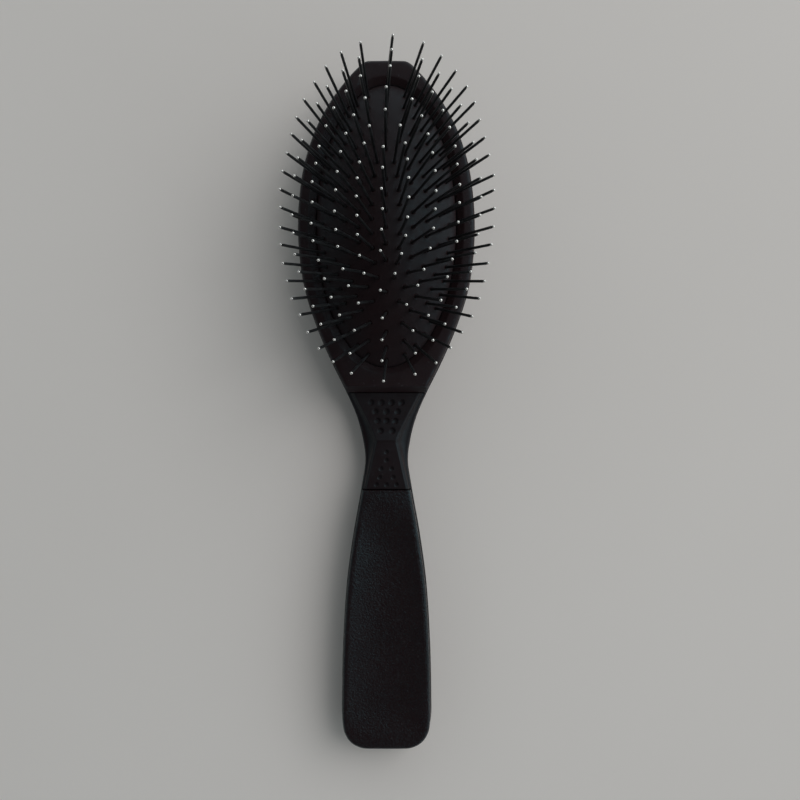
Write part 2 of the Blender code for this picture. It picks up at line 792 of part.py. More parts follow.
def make_neck_grip(dense, look):
    marks = [m * MM for m, _, _ in GRIP_PANEL_MM]
    even = [GRIP_TOP_Y - (GRIP_TOP_Y - GRIP_BOTTOM_Y) * k / 12 for k in range(13)]
    stations = sorted(set(even) | set(marks), reverse=True)
    last = len(stations) - 1
    loops = [grip_profile(dense, y) for y in stations]
    count = len(loops[0])
    points = [p for loop in loops for p in loop]
    faces = [tuple(range(count)), tuple(range(count * last, count * (last + 1)))]
    for k in range(last):
        bridge(faces, k * count, (k + 1) * count, count)
    return make_object("neck_grip", points, faces, look)


def build():
    clear_scene()
    shell_look = material("shell_plastic", (0.014, 0.015, 0.017), 0.5)
    frame_look = material("frame_plastic", (0.012, 0.012, 0.013), 0.42)
    cover_look = material("handle_plastic", (0.013, 0.014, 0.015), 0.55)
    grip_look = material("grip_rubber", (0.012, 0.013, 0.014), 0.6)
    pad_look = material("pad_rubber", (0.011, 0.009, 0.009), 0.75)
    pin_look = material("pin_enamel", (0.02, 0.02, 0.022), 0.35)
    inner_look = material("inner_plastic", (0.05, 0.05, 0.055), 0.5)
    screw_look = material("screw_steel", (0.5, 0.5, 0.52), 0.35, 1.0)

    dense = curve_through([(x * MM, y * MM) for x, y in SIDE_POINTS_MM])
    shell = make_back_shell(dense, shell_look)
    cut(shell, oval_plate("head_pocket", POCKET_OUT, POCKET_FLOOR_Z, SHELL_TOP_Z + MM, shell_look))
    pocket_side = handle_outline(dense, HANDLE_TOP_Y - 4 * MM)
    pocket_rows = ((3.0 * MM, POCKET_FLOOR_Z), (3.0 * MM, SHELL_TOP_Z + MM))
    cut(shell, slab("handle_pocket", pocket_side, pocket_rows, shell_look))
    make_frame(dense, frame_look)
    make_handle_cover(dense, cover_look)
    make_neck_grip(dense, grip_look)
    make_pad(pad_look)
    make_clamp_ring(inner_look)
    make_chamber_plate(inner_look)
    make_all_pins(pin_look)
    for k, place in enumerate(screw_places()):
        make_screw(f"plate_screw_{k + 1}", place, screw_look)


build()
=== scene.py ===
import math
import random

import bmesh
import bpy
import numpy as np
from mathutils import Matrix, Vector


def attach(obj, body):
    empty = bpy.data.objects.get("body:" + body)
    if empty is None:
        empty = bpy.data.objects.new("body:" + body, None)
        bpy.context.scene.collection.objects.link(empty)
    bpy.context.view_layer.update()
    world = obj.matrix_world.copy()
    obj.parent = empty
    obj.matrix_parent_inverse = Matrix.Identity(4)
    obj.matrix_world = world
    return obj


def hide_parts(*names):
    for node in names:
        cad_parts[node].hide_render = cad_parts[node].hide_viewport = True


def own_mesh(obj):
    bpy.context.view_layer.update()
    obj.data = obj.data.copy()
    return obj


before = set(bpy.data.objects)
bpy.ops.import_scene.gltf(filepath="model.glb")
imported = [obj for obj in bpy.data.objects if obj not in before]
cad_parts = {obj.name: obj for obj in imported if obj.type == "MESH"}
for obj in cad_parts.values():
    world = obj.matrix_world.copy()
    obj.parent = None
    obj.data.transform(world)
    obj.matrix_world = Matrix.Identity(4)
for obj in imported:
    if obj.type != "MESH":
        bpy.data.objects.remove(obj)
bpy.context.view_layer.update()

MM = 0.001

# ---------------------------------------------------------------- dimensions, most of them the CAD model's
# Overall plan. Each point is (half width, y), from the top of the head down one side to the handle's butt.
HEAD_TOP_Y = 117.5 * MM
BUTT_Y = -117.5 * MM
SIDE_POINTS_MM = (
    (0.0, 117.5),
    (4.2, 117.5),
    (6.8, 117.3),
    (8.7, 116.35),
    (10.3, 114.8),
    (13.6, 111.3),
    (19.2, 103.9),
    (24.0, 95.3),
    (27.1, 87.0),
    (29.1, 78.8),
    (30.5, 66.0),
    (30.5, 56.0),
    (29.5, 45.8),
    (27.8, 37.6),
    (25.1, 29.3),
    (21.9, 21.1),
    (18.1, 12.8),
    (14.0, 4.6),
    (10.4, -3.7),
    (8.2, -11.9),
    (7.4, -19.0),
    (8.7, -28.4),
    (11.6, -44.9),
    (13.8, -61.4),
    (15.1, -82.0),
    (15.5, -100.0),
    (15.45, -107.6),
    (14.6, -112.0),
    (12.4, -115.2),
    (8.8, -117.1),
    (4.0, -117.5),
    (0.0, -117.5),
)

# Where the frame, the grip and the handle's cover end along the brush. The frame's end slopes back toward its
# top, and END_ROUNDING is how much of an edge's rounding a cut end takes.
FRAME_END_Y = 3.95 * MM
FRAME_END_SLOPE = 1.95 * MM
END_ROUNDING = 0.1
GRIP_TOP_Y = 4.2 * MM
GRIP_BOTTOM_Y = -28.6 * MM
HANDLE_TOP_Y = -28.45 * MM

# Levels above the plane that the brush rests on.
SHELL_TOP_Z = 7.2 * MM
FRONT_BOTTOM_Z = 7.5 * MM
RIM_Z = 14.0 * MM
HANDLE_FACE_Z = 13.0 * MM
FRONT_INSET = 0.45 * MM
POCKET_FLOOR_Z = 3.6 * MM
NECK_ARCH = 3.0 * MM
NECK_ARCH_REACH = 17 * MM
NECK_Y = -16.0 * MM

# Pocket of the back shell behind the handle's face.
HANDLE_POCKET_TOP_Y = HANDLE_TOP_Y - 4 * MM
HANDLE_POCKET_INSET = 3.0 * MM

# Oval cushion opening in the head.
PAD_CENTRE_Y = 60.9 * MM
PAD_A = 23.7 * MM
PAD_B = 47.8 * MM
PAD_EDGE_Z = 12.5 * MM
PAD_CROWN = 10.0 * MM
PAD_THICK = 1.2 * MM
GAP = 0.3 * MM

# Pins: a middle column and nested oval rings. They fan out, and each ring leans a little sideways. Length and
# direction vary a little from pin to pin.
PIN_LENGTH = 22.0 * MM
PIN_LENGTH_SPREAD_MM = 0.15
PIN_FAN_X = 0.915
PIN_FAN_Y = 0.86
PIN_FAN_SIDE = 0.5
PIN_LEAN_Y = 0.041
COLUMN_LEAN_X = -0.035
RING_LEAN_X = (-0.028, 0.014, 0.024, 0.032, 0.049)
PIN_TWIST = 0.077
PIN_TILT_DEG = 0.9
PIN_SEED = 41
PIN_CLOSE = 0.9676
COLUMN_PINS = 6
COLUMN_PITCH = 5.3 * MM
COLUMN_Y = -0.1 * MM
RING_COUNTS = (20, 26, 32, 38, 44)
RING_A_MM = (4.6, 9.0, 13.6, 18.0, 21.4)
RING_B_MM = (23.5, 30.2, 36.4, 41.5, 45.6)
RING_PARTS = ("head_right", "neck_right", "neck_left", "head_left")

# Extra spread of the last ring along Y. It sets in at LAST_RING_FROM of the way out to the pad's edge, and is
# full LAST_RING_BLEND further on.
PIN_LAST_RING = 0.08
LAST_RING_FROM = 0.88
LAST_RING_BLEND = 0.07

# One pin: an enamelled shaft that narrows under a steel ball. BALL_START is the angle of the ball's lowest
# row. The two slots are the places of enamel and steel among a pin piece's materials.
SHAFT_ROOT_R = 0.47 * MM
SHAFT_END_R = 0.45 * MM
SHAFT_NECK_R = 0.39 * MM
SHAFT_END = 1.5 * MM
SHAFT_NECK = 1.1 * MM
BALL_R = 0.48 * MM
BALL_START = -0.8
BALL_ROWS = 9
PIN_SIDES = 12
ENAMEL_SLOT = 0
TIP_SLOT = 1

# Strips under the cushion that carry the pins. Each starts before its first pin, and ends short of the next
# strip's first pin, by these shares of the pitch.
RUNNER_HALF = 0.85 * MM
RUNNER_THICK = 0.8 * MM
RUNNER_BEFORE = 0.35
RUNNER_SHORT = 0.65
RUNNER_STEPS = 4

# Raised lips and sunk sockets of the cushion round its pins.
LIP_REACH_MM = 2.2
LIP_HEIGHT_MM = 0.05
LIP_R_MM = 0.95
LIP_WIDTH_MM = 0.3
SOCKET_DEPTH_MM = 0.32
SOCKET_R_MM = 0.6

# Cushion rim and chamber plate, stacked under the frame's lip, and the drill holes for the plate's screws.
LIP_Z = 11.3 * MM
FLANGE_TOP_Z = LIP_Z - GAP
FLANGE_THICK = 1.0 * MM
FLANGE_OUT = 1.8 * MM
STEP_Z = 8.6 * MM
PLATE_OUT = 4.9 * MM
POCKET_OUT = 5.0 * MM
SCREW_ANGLES_DEG = (35, 90, 145, 215, 270, 325)
SCREW_OUT = 3.3 * MM
SCREW_HOLE_R = 0.95 * MM
SCREW_HOLE_TOP_Z = 12.3 * MM

# Neck grip's middle panel: (y, half width, height). It rises from the head to a crest at the waist.
GRIP_PANEL_MM = (
    (4.2, 11.0, 11.2),
    (-5.0, 6.2, 11.4),
    (-9.0, 4.3, 11.85),
    (-11.9, 3.1, 12.6),
    (-12.7, 3.1, 12.4),
    (-28.6, 6.7, 12.1),
)
GRIP_STEP = 0.8 * MM
GRIP_EDGE_Z = 9.0 * MM
GRIP_END_ROUND = 0.15 * MM
GRIP_ROUND_FROM_Z = 8 * MM
GRIP_FLANK_STEPS = 14
GRIP_FLANK_BEND = 2.1
GRIP_COLUMNS = 84
GRIP_STATIONS = 290

# Dimples of the grip: (y, places across, radius). DIMPLE_DEPTH is the depth of one with a radius of 1 mm.
# DIMPLE_WALL makes the wall steeper, and DIMPLE_BOWL rounds the bottom.
DIMPLES_MM = (
    (0.95, (-5.2, -1.75, 1.75, 5.2), 1.15),
    (-2.15, (-3.8, 0.0, 3.8), 1.15),
    (-5.35, (-3.0, 0.0, 3.0), 1.15),
    (-8.7, (-2.0, 2.0), 1.15),
    (-15.9, (0.0,), 0.84),
    (-18.7, (0.0,), 0.84),
    (-21.6, (-1.8, 1.8), 0.84),
    (-24.5, (-2.3, 2.3), 0.84),
    (-27.0, (-3.4, 0.0, 3.4), 0.8),
)
DIMPLE_DEPTH = 0.5 * MM
DIMPLE_WALL = 2.0
DIMPLE_BOWL = 0.35

# Shallow hollow along the handle's face: its depth, and where it fades out at the two ends.
DISH_DEPTH = 1.5 * MM
DISH_START_Y = -32.0 * MM
DISH_FULL_Y = -50.0 * MM
DISH_LAST_FULL_Y = -102.0 * MM
DISH_END_Y = -116.0 * MM

# How finely the meshes are divided. CAP_SHARES divides a wide face across, as shares of its half width,
# between the two values of y in BACK_STRIPS_Y or FACE_STRIPS_Y.
BACK_STRIPS_Y = (32 * MM, -66 * MM)
FACE_STRIPS_Y = (HANDLE_TOP_Y - 3 * MM, -114.5 * MM)
CAP_SHARES = (0.94, 0.85, 0.7, 0.5, 0.25, 0.0, -0.25, -0.5, -0.7, -0.85, -0.94)
SHELL_SAMPLES = 260
FRAME_SAMPLES = 221
FRAME_EDGE_POINTS = 40
HANDLE_SAMPLES = 220
HANDLE_EDGE_POINTS = 12
HANDLE_POCKET_SAMPLES = 120
OVAL_STEPS = 2881
PAD_AROUND = 900
PAD_STEPS = 130
PAD_UNDER_STEPS = 24
WELD_DISTANCE = 2e-6


# ---------------------------------------------------------------- mesh helpers
def make_object(name, points, faces, looks, smooth_angle=40, face_looks=None, flat_faces=()):
    """A mesh object, smooth but for its flat_faces and its edges sharper than smooth_angle in degrees."""
    mesh = bpy.data.meshes.new(name)
    mesh.from_pydata([tuple(p) for p in points], [], faces)
    for look in looks:
        mesh.materials.append(look)
    if face_looks is not None:
        mesh.polygons.foreach_set("material_index", np.array(face_looks, np.int32))
    smooth = np.ones(len(mesh.polygons), bool)
    smooth[list(flat_faces)] = False
    mesh.polygons.foreach_set("use_smooth", smooth)
    tool = bmesh.new()
    tool.from_mesh(mesh)
    bmesh.ops.remove_doubles(tool, verts=tool.verts, dist=WELD_DISTANCE)
    bmesh.ops.recalc_face_normals(tool, faces=tool.faces)
    tool.to_mesh(mesh)
    tool.free()
    mesh.set_sharp_from_angle(angle=math.radians(smooth_angle))
    obj = bpy.data.objects.new(name, mesh)
    bpy.context.scene.collection.objects.link(obj)
    return obj


def curve_through(points, count=40):
    """Dense points on a centripetal Catmull-Rom curve; it leaves and arrives square to the middle plane."""
    pts = [np.array(p, float) for p in points]
    pts = [pts[1] * np.array([-1.0, 1.0]), *pts, pts[-2] * np.array([-1.0, 1.0])]
    dense = []
    for a, b, c, d in zip(pts, pts[1:], pts[2:], pts[3:]):
        t0 = 0.0
        t1 = t0 + math.sqrt(np.linalg.norm(b - a))
        t2 = t1 + math.sqrt(np.linalg.norm(c - b))
        t3 = t2 + math.sqrt(np.linalg.norm(d - c))
        for t in np.linspace(t1, t2, count, endpoint=False):
            ab = a + (b - a) * (t - t0) / (t1 - t0)
            bc = b + (c - b) * (t - t1) / (t2 - t1)
            cd = c + (d - c) * (t - t2) / (t3 - t2)
            abc = ab + (bc - ab) * (t - t0) / (t2 - t0)
            bcd = bc + (cd - bc) * (t - t1) / (t3 - t1)
            dense.append(abc + (bcd - abc) * (t - t1) / (t2 - t1))
    dense.append(pts[-2])
    return np.array(dense)


def resample(dense, samples, bend_weight=30 * MM):
    """Points along a curve, closer together where it bends; the ends are kept."""
    step = np.diff(dense, axis=0)
    length = np.hypot(step[:, 0], step[:, 1])
    heading = np.unwrap(np.arctan2(step[:, 1], step[:, 0]))
    weight = length + bend_weight * np.abs(np.gradient(heading))
    along = np.concatenate([[0.0], np.cumsum(weight)])
    marks = np.linspace(0.0, along[-1], samples)
    return np.stack([np.interp(marks, along, dense[:, k]) for k in (0, 1)], axis=1)


def outward_normals(side):
    """Normals away from the solid for a half outline down the +X side, longer where it turns a corner."""
    before = side - np.vstack([side[1] * [-1, 1], side[:-1]])
    after = np.vstack([side[1:], side[-2] * [-1, 1]]) - side
    before /= np.linalg.norm(before, axis=1)[:, None]
    after /= np.linalg.norm(after, axis=1)[:, None]
    run = before + after
    run /= np.linalg.norm(run, axis=1)[:, None]
    reach = 1 / np.maximum((run * after).sum(axis=1), 0.65)
    return np.stack([-run[:, 1], run[:, 0]], axis=1) * reach[:, None]


def full_loop(side, z):
    """The closed loop of a half outline and its mirror image."""
    right = [(x, y, h) for (x, y), h in zip(side, z)]
    left = [(-x, y, h) for x, y, h in reversed(right[1:-1])]
    return right + left


def unfold(ring, reach=110):
    """Removes the small loops that an inset makes at a tight corner: their points move to the crossing."""
    ring = ring.copy()
    i = 0
    while i < len(ring) - 3:
        start = ring[i]
        run = ring[i + 1] - start
        others = np.arange(i + 2, min(i + reach, len(ring) - 1))
        gap = ring[others] - start
        other_run = ring[others + 1] - ring[others]
        area = run[0] * other_run[:, 1] - run[1] * other_run[:, 0]
        parallel = 1e-4 * np.hypot(*run) * np.hypot(other_run[:, 0], other_run[:, 1]) + 1e-16
        crossing = np.abs(area) > parallel
        area = np.where(crossing, area, 1.0)
        here = (gap[:, 0] * other_run[:, 1] - gap[:, 1] * other_run[:, 0]) / area
        there = (gap[:, 0] * run[1] - gap[:, 1] * run[0]) / area
        low = -1e-9
        high = 1 + 1e-9
        met = crossing & (here >= low) & (here <= high) & (there >= low) & (there <= high)
        if met.any():
            last = int(np.nonzero(met)[0][-1])
            ring[i + 1 : others[last] + 1] = start + run * here[last]
            i = int(others[last])
        else:
            i += 1
    return ring


def inset_side(side, normals, inset):
    """A half outline moved inward, with its two ends kept on the middle plane."""
    moved = side - normals * np.asarray(inset).reshape(-1, 1)
    moved[0, 0] = 0.0
    moved[-1, 0] = 0.0
    return unfold(moved)


def bridge(faces, first, second, count):
    """Quads between two loops. They face out when the second lies above the first on a clockwise outline."""
    for i in range(count):
        j = (i + 1) % count
        faces.append((first + i, second + i, second + j, first + j))


def hollow_depth(share, y):
    """How far the handle's face lies below its edge; share runs from 1 to -1 across it."""
    start = min(1.0, max(0.0, (y - DISH_START_Y) / (DISH_FULL_Y - DISH_START_Y)))
    end = min(1.0, max(0.0, (y - DISH_END_Y) / (DISH_LAST_FULL_Y - DISH_END_Y)))
    fade = start**2 * (3 - 2 * start) * end**2 * (3 - 2 * end)
    return DISH_DEPTH * (1 - share**2) * fade


def level(share, y):
    """The drop of a face that stays flat."""
    return 0.0


def cap(points, faces, flat_faces, start, side, z, strips, drop=level):
    """Closes a loop with one face, or with rows of small faces where strips = (high y, low y) is given."""
    count = len(side)
    total = 2 * count - 2
    if strips is None:
        flat_faces.append(len(faces))
        faces.append(tuple(range(start, start + total)))
        return
    rows = [i for i in range(count) if strips[1] < side[i][1] < strips[0]]
    grid = []
    for i in rows:
        first = len(points)
        x, y = side[i]
        points += [(x * share, y, z[i] - drop(share, y)) for share in CAP_SHARES]
        grid.append([start + i, *range(first, first + len(CAP_SHARES)), start + (total - i) % total])
    for upper, lower in zip(grid, grid[1:]):
        for k in range(len(upper) - 1):
            faces.append((upper[k], upper[k + 1], lower[k + 1], lower[k]))
    flat_faces += [len(faces), len(faces) + 1]
    right_end = list(range(start, start + rows[0]))
    left_end = list(range(start + total - rows[0] + 1, start + total))
    faces.append(tuple(right_end + grid[0] + left_end))
    far_end = list(range(start + rows[-1], start + total - rows[-1]))
    faces.append(tuple(far_end + grid[-1][:0:-1]))


def stacked(name, levels, looks, low_strips=None, top_strips=None, top_drop=level):
    """A closed body from half outlines of one length. Its levels are (half outline, height), bottom first."""
    points = []
    faces = []
    flat_faces = []
    total = 2 * len(levels[0][0]) - 2
    for ring, height in levels:
        z = height(ring[:, 1]) if callable(height) else np.full(len(ring), height)
        if not points:
            low_ring = (ring, z)
        points += full_loop(ring, z)
    for k in range(len(levels) - 1):
        bridge(faces, k * total, (k + 1) * total, total)
    cap(points, faces, flat_faces, 0, *low_ring, low_strips)
    cap(points, faces, flat_faces, (len(levels) - 1) * total, ring, z, top_strips, top_drop)
    return make_object(name, points, faces, looks, flat_faces=flat_faces)


def slab(name, side, rows, looks, low_strips=None):
    """A closed body from one half outline. Its rows are (inset, height), from the bottom face up."""
    normals = outward_normals(side)
    levels = [(inset_side(side, normals, np.full(len(side), inset)), height) for inset, height in rows]
    return stacked(name, levels, looks, low_strips)


def ellipse_ring(grow, z, angles):
    """Points round the pad's oval, moved outward by grow."""
    s = np.sin(angles)
    c = np.cos(angles)
    nx = s / PAD_A
    ny = c / PAD_B
    size = np.hypot(nx, ny)
    across = PAD_A * s + grow * nx / size
    along = PAD_B * c + grow * ny / size
    return [(x, y + PAD_CENTRE_Y, z) for x, y in zip(across, along)]


def oval_place(a, b, count, mark):
    """The place on an oval that is mark steps of 1/count of its length clockwise from the top."""
    turn = np.linspace(0, 2 * math.pi, OVAL_STEPS)
    steps = np.hypot(np.diff(a * np.sin(turn)), np.diff(b * np.cos(turn)))
    along = np.concatenate([[0.0], np.cumsum(steps)])
    share = (mark / count) % 1.0
    t = float(np.interp(share * along[-1], along, turn))
    return a * math.sin(t), b * math.cos(t)


def dome_z(x, y):
    """Height of the cushion's dome; y is measured from the pad's centre, as for the pins."""
    return PAD_EDGE_Z + PAD_CROWN * (1 - (x / PAD_A) ** 2 - (y / PAD_B) ** 2)


def pin_direction(x, y, lean_x):
    """The way a pin points: fanned out from the dome, with its ring's lean and the twist of them all."""
    side = 1 + PIN_FAN_SIDE * (x / PAD_A) ** 2
    slope_x = PIN_FAN_X * 2 * PAD_CROWN * x / PAD_A**2 + lean_x + PIN_TWIST * y / PAD_B
    slope_y = PIN_FAN_Y * side * 2 * PAD_CROWN * y / PAD_B**2 + PIN_LEAN_Y
    outermost = max(0.0, math.hypot(x / PAD_A, y / PAD_B) - LAST_RING_FROM) / LAST_RING_BLEND
    slope_y += PIN_LAST_RING * min(1.0, outermost) * y / PAD_B
    return Vector((slope_x, slope_y, 1.0)).normalized()


def half_width(y):
    """Half the brush's width at y."""
    return np.interp(-np.asarray(y), -OUTLINE[:, 1], OUTLINE[:, 0])


def between(high, low):
    """The half outline from high to low, cut square where it doesn't reach the end of the brush."""
    clear = 0.05 * MM
    inside = OUTLINE[(OUTLINE[:, 1] < high - clear) & (OUTLINE[:, 1] > low + clear)]
    rows = [inside]
    if high < HEAD_TOP_Y:
        rows.insert(0, [[float(half_width(high)), high]])
    if low > BUTT_Y:
        rows.append([[float(half_width(low)), low]])
    return np.vstack(rows)


# ---------------------------------------------------------------- materials
def new_material(name):
    made = bpy.data.materials.new(name)
    made.use_nodes = True
    tree = made.node_tree
    shader = tree.nodes["Principled BSDF"]
    return made, tree, shader


def coordinates(tree):
    return tree.nodes.new("ShaderNodeTexCoord").outputs["Object"]


def noise(tree, where, scale, detail=2.0, roughness=0.5):
    node = tree.nodes.new("ShaderNodeTexNoise")
    node.inputs["Scale"].default_value = scale
    node.inputs["Detail"].default_value = detail
    node.inputs["Roughness"].default_value = roughness
    tree.links.new(where, node.inputs["Vector"])
    return node.outputs["Fac"]


def ramp(tree, value, low, high, out_low, out_high):
    node = tree.nodes.new("ShaderNodeMapRange")
    node.interpolation_type = "SMOOTHSTEP"
    ends = {"From Min": low, "From Max": high, "To Min": out_low, "To Max": out_high}
    for key, number in ends.items():
        node.inputs[key].default_value = number
    tree.links.new(value, node.inputs["Value"])
    return node.outputs["Result"]


def maths(tree, kind, a, b):
    node = tree.nodes.new("ShaderNodeMath")
    node.operation = kind
    for socket, value in zip(node.inputs, (a, b)):
        if isinstance(value, (int, float)):
            socket.default_value = value
        else:
            tree.links.new(value, socket)
    return node.outputs[0]


def mix(tree, factor, a, b):
    node = tree.nodes.new("ShaderNodeMix")
    node.data_type = "RGBA"
    tree.links.new(factor, node.inputs["Factor"])
    for key, value in (("A", a), ("B", b)):
        socket = [s for s in node.inputs if s.name == key and s.type == "RGBA"][0]
        if isinstance(value, tuple):
            socket.default_value = (*value, 1.0)
        else:
            tree.links.new(value, socket)
    return [s for s in node.outputs if s.type == "RGBA"][0]


def bump(tree, height, distance, strength, below=None):
    node = tree.nodes.new("ShaderNodeBump")
    node.inputs["Strength"].default_value = strength
    node.inputs["Distance"].default_value = distance
    tree.links.new(height, node.inputs["Height"])
    if below is not None:
        tree.links.new(below, node.inputs["Normal"])
    return node.outputs["Normal"]


SHEEN_TINT = (0.42, 1.0, 1.14)
DUST_COLOUR = (0.11, 0.115, 0.12)
WORN_COLOUR = (0.035, 0.038, 0.042)
CLOUD_SCALE = 55.0
SHINE_SCALE = 420.0


def moulded(name, dark, pale, rough, grain, grain_depth, dust=0.25, wear=0.5, specular=0.26):
    """Fine-grained black moulding: cloudy tone, moulded grain, dust in the grain, and edges worn shiny."""
    made, tree, shader = new_material(name)
    where = coordinates(tree)
    cloud = noise(tree, where, CLOUD_SCALE, 3.0, 0.6)
    fine = noise(tree, where, grain, 3.0, 0.65)
    coarse = noise(tree, where, grain * 0.31, 2.0, 0.5)
    tone = mix(tree, ramp(tree, cloud, 0.35, 0.68, 0.0, 1.0), dark, pale)
    specks = ramp(tree, noise(tree, where, grain * 0.55, 1.0, 0.4), 0.70, 0.78, 0.0, dust)
    tone = mix(tree, specks, tone, DUST_COLOUR)
    point = tree.nodes.new("ShaderNodeNewGeometry").outputs["Pointiness"]
    edge = ramp(tree, point, 0.51, 0.56, 0.0, wear)
    tone = mix(tree, edge, tone, WORN_COLOUR)
    tree.links.new(tone, shader.inputs["Base Color"])
    uneven = ramp(tree, noise(tree, where, SHINE_SCALE, 4.0, 0.6), 0.3, 0.75, rough - 0.07, rough + 0.09)
    polish = maths(tree, "MULTIPLY", edge, 0.18)
    tree.links.new(maths(tree, "SUBTRACT", uneven, polish), shader.inputs["Roughness"])
    normal = bump(tree, coarse, 0.05 * MM, 0.35)
    normal = bump(tree, fine, grain_depth, 0.8, normal)
    tree.links.new(normal, shader.inputs["Normal"])
    shader.inputs["Specular IOR Level"].default_value = specular
    shader.inputs["Specular Tint"].default_value = (*SHEEN_TINT, 1.0)
    return made


def enamel(name):
    """Glossy black coating of the pins."""
    made, tree, shader = new_material(name)
    where = coordinates(tree)
    cloud = ramp(tree, noise(tree, where, 300.0, 2.0), 0.35, 0.7, 0.0, 1.0)
    tone = mix(tree, cloud, (0.010, 0.010, 0.011), (0.020, 0.022, 0.024))
    tree.links.new(tone, shader.inputs["Base Color"])
    rough = ramp(tree, noise(tree, where, 1500.0, 3.0, 0.6), 0.3, 0.7, 0.28, 0.38)
    tree.links.new(rough, shader.inputs["Roughness"])
    normal = bump(tree, noise(tree, where, 1800.0, 2.0), 0.004 * MM, 0.15)
    tree.links.new(normal, shader.inputs["Normal"])
    shader.inputs["Specular IOR Level"].default_value = 0.65
    return made


def steel(name, pale, rough):
    """Bare steel with a slightly uneven polish."""
    made, tree, shader = new_material(name)
    where = coordinates(tree)
    cloud = ramp(tree, noise(tree, where, 900.0, 2.0), 0.3, 0.7, 0.0, 1.0)
    tone = mix(tree, cloud, tuple(c * 0.8 for c in pale), pale)
    tree.links.new(tone, shader.inputs["Base Color"])
    polish = ramp(tree, noise(tree, where, 2600.0, 3.0), 0.3, 0.7, rough - 0.05, rough + 0.07)
    tree.links.new(polish, shader.inputs["Roughness"])
    shader.inputs["Metallic"].default_value = 1.0
    return made


def floor_material(name):
    """Plain pale paper."""
    made, tree, shader = new_material(name)
    where = coordinates(tree)
    cloud = ramp(tree, noise(tree, where, 3.0, 4.0), 0.3, 0.7, 0.0, 1.0)
    tone = mix(tree, cloud, (0.87, 0.81, 0.775), (0.90, 0.84, 0.805))
    tree.links.new(tone, shader.inputs["Base Color"])
    shader.inputs["Roughness"].default_value = 0.9
    shader.inputs["Specular IOR Level"].default_value = 0.1
    return made


SHELL = moulded(
    "shell_moulding",
    dark=(0.0185, 0.0084, 0.009),
    pale=(0.0215, 0.011, 0.0118),
    rough=0.42,
    grain=3000.0,
    grain_depth=0.03 * MM,
    specular=0.22,
)
FRAME = moulded(
    "frame_moulding",
    dark=(0.0215, 0.0092, 0.0098),
    pale=(0.0245, 0.0116, 0.0124),
    rough=0.44,
    grain=2300.0,
    grain_depth=0.08 * MM,
    specular=0.17,
)
COVER = moulded(
    "handle_moulding",
    dark=(0.0146, 0.0062, 0.0068),
    pale=(0.0166, 0.0075, 0.0081),
    rough=0.24,
    grain=1500.0,
    grain_depth=0.36 * MM,
    dust=0.1,
    specular=0.29,
)
GRIP = moulded(
    "grip_rubber",
    dark=(0.0155, 0.0074, 0.008),
    pale=(0.018, 0.0098, 0.0106),
    rough=0.44,
    grain=2600.0,
    grain_depth=0.06 * MM,
    dust=0.1,
    wear=0.1,
    specular=0.19,
)
PAD = moulded(
    "pad_rubber",
    dark=(0.0225, 0.0096, 0.0102),
    pale=(0.025, 0.0114, 0.012),
    rough=0.5,
    grain=3000.0,
    grain_depth=0.05 * MM,
    dust=0.15,
    wear=0.15,
    specular=0.17,
)
INNER = moulded(
    "inner_moulding",
    dark=(0.03, 0.031, 0.034),
    pale=(0.045, 0.046, 0.05),
    rough=0.45,
    grain=2500.0,
    grain_depth=0.02 * MM,
    dust=0.1,
)
ENAMEL = enamel("pin_enamel")
TIP = steel("pin_tip_steel", pale=(0.8, 0.78, 0.75), rough=0.18)
SCREW = steel("screw_steel", pale=(0.55, 0.55, 0.57), rough=0.32)


# ---------------------------------------------------------------- the shell, frame and handle
def smooth_rows(corners, steps):
    """A denser run of (inset, height) rows on a smooth curve through the given ones."""
    pts = [np.array(c, float) for c in corners]
    pts = [2 * pts[0] - pts[1], *pts, 2 * pts[-1] - pts[-2]]
    rows = []
    for a, b, c, d in zip(pts, pts[1:], pts[2:], pts[3:]):
        bend = 2 * a - 5 * b + 4 * c - d
        twist = 3 * b - a - 3 * c + d
        for k in range(steps):
            t = k / steps
            rows.append(0.5 * ((2 * b) + (c - a) * t + bend * t**2 + twist * t**3))
    rows.append(pts[-2])
    return [tuple(r) for r in rows]


def neck_rise(y):
    """How far the back arches up under the neck."""
    return NECK_ARCH * np.exp(-(((y - NECK_Y) / NECK_ARCH_REACH) ** 2))


def arched(z):
    """The height of a row of the back shell along the brush; the arch dies out toward the shell's top."""
    return lambda y: z + neck_rise(y) * (1 - z / SHELL_TOP_Z)


def carve(obj, cutters):
    """Takes the cutters out of a mesh and removes them."""
    for cutter in cutters:
        step = obj.modifiers.new("cut", "BOOLEAN")
        step.operation = "DIFFERENCE"
        step.solver = "EXACT"
        step.object = cutter
    graph = bpy.context.evaluated_depsgraph_get()
    carved = bpy.data.meshes.new_from_object(obj.evaluated_get(graph), depsgraph=graph)
    obj.modifiers.clear()
    old = obj.data
    obj.data = carved
    bpy.data.meshes.remove(old)
    carved.name = obj.name
    for cutter in cutters:
        bpy.data.objects.remove(cutter, do_unlink=True)


def oval_block(name, grow, z_low, z_high, look, count=240):
    """A block with the pad's oval outline, moved outward by grow."""
    angles = np.linspace(0, 2 * math.pi, count, endpoint=False)
    points = ellipse_ring(grow, z_low, angles) + ellipse_ring(grow, z_high, angles)
    faces = [tuple(range(count)), tuple(range(count, 2 * count))]
    bridge(faces, 0, count, count)
    return make_object(name, points, faces, [look], flat_faces=(0, 1))


def rod(name, centre, radius, z_low, z_high, sides, look):
    points = []
    for z in (z_low, z_high):
        for k in range(sides):
            turn = 2 * math.pi * k / sides
            points.append((centre[0] + radius * math.cos(turn), centre[1] + radius * math.sin(turn), z))
    faces = [tuple(range(sides)), tuple(range(sides, 2 * sides))]
    bridge(faces, 0, sides, sides)
    return make_object(name, points, faces, [look], flat_faces=(0, 1))


